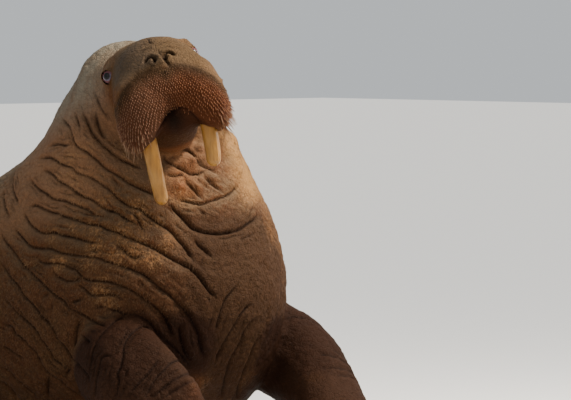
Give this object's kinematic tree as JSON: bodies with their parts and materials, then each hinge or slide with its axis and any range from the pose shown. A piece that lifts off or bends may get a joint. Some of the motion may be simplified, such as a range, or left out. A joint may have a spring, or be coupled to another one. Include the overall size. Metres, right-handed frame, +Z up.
{
  "type": "walrus",
  "caption": "Life-size still walrus resting on its belly, chest and head raised on its foreflippers, head turned and tilted, with tusks and bristled whisker pads.",
  "frame": {"origin": "middle of the underside of the whole model's box, on the floor", "axes": "+Y along the trunk towards the tail, +Z up, the animal's right side towards -X"},
  "size_m": [0.8966, 3.044, 1.0353],
  "materials": {
    "skin": "creased hide under short, flat fur",
    "muzzle_skin": "dark bristled hide",
    "flipper_skin": "dark bare hide",
    "ivory": "worn satin ivory",
    "eye_surface": "wet gloss"
  },
  "bodies": {
    "root": {"head": "skin", "muzzle": "muzzle_skin", "lower_jaw": "skin", "neck": "skin", "chest": "skin", "belly": "skin", "rump": "skin", "tail": "skin", "foreflipper_left": "flipper_skin", "foreflipper_right": "flipper_skin", "hindflipper_left": "flipper_skin", "hindflipper_right": "flipper_skin", "tusk_left": "ivory", "tusk_right": "ivory", "eye_left": "eye_surface", "eye_right": "eye_surface"}
  },
  "joints": []
}
